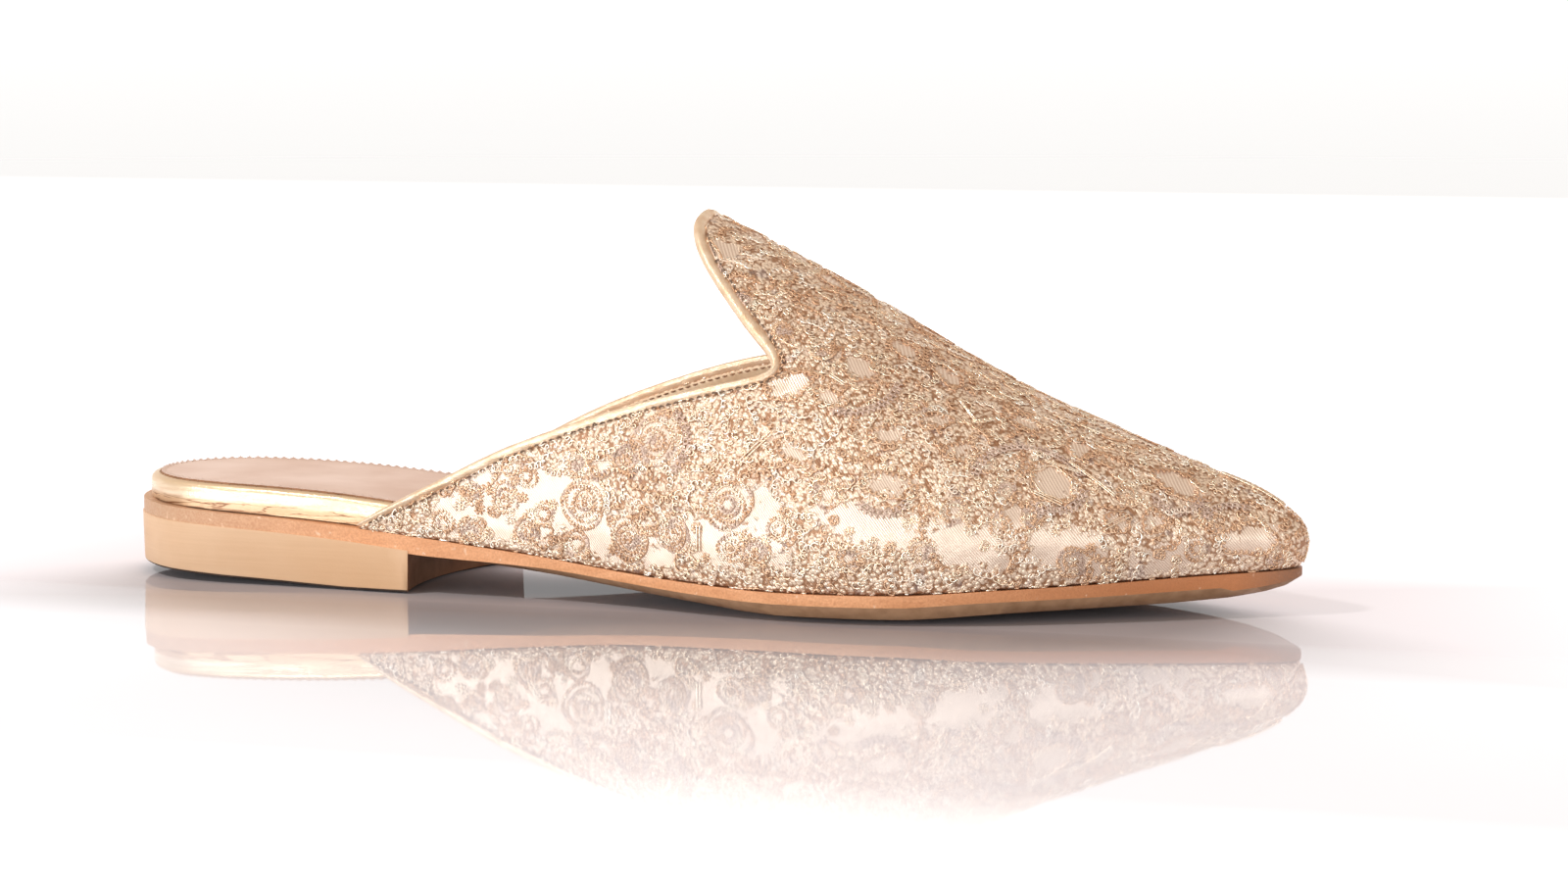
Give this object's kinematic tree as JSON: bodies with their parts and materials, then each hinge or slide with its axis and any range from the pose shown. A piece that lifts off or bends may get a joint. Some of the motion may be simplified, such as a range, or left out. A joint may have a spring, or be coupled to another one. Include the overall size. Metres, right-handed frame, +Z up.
{
  "type": "mule shoe",
  "caption": "Flat backless slipper for the right foot: pointed toe, high pointed tongue, brocade upper with gold cords, gold-wrapped footbed, leather sole and low heel block.",
  "frame": {"origin": "Middle of the shoe's box, on the floor it stands on.", "axes": "+X points to the toe, +Z up, the outer side of the foot is -Y."},
  "size_m": [0.2664, 0.083, 0.0835],
  "materials": {
    "sole_leather": "burnished natural sole leather",
    "heel_stack": "waxed stacked leather",
    "gold_leather": "metallic",
    "brocade": "satin with metallic cords",
    "binding_leather": "metallic"
  },
  "bodies": {
    "root": {"outsole": "sole_leather", "heel": "heel_stack", "footbed": "gold_leather", "upper": "brocade", "topline_binding": "binding_leather"}
  },
  "joints": []
}
